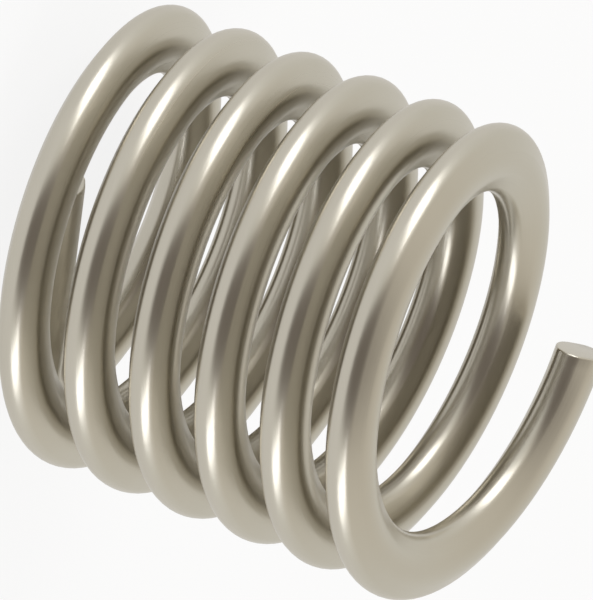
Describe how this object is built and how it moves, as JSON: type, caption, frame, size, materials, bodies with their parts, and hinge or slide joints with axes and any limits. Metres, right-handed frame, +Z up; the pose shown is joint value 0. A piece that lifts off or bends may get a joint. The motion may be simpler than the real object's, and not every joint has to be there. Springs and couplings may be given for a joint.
{
  "type": "helical thread insert",
  "caption": "Helical wire thread insert: a right-hand coil of diamond-section stainless wire, with a driving tang bent across its leading end.",
  "frame": {"origin": "on the coil's axis, in the plane that its leading end stands on", "axes": "+Z up the coil's axis from the tang to the free end; +X from the axis to the point where the coil leaves the tang's bend; the coil rises as a right-hand screw about +Z"},
  "size_m": [0.0102, 0.0101, 0.0111],
  "materials": {
    "wire": "smooth drawn stainless steel, bright with soft highlights"
  },
  "bodies": {
    "root": {"wire_coil": "wire"}
  },
  "joints": []
}
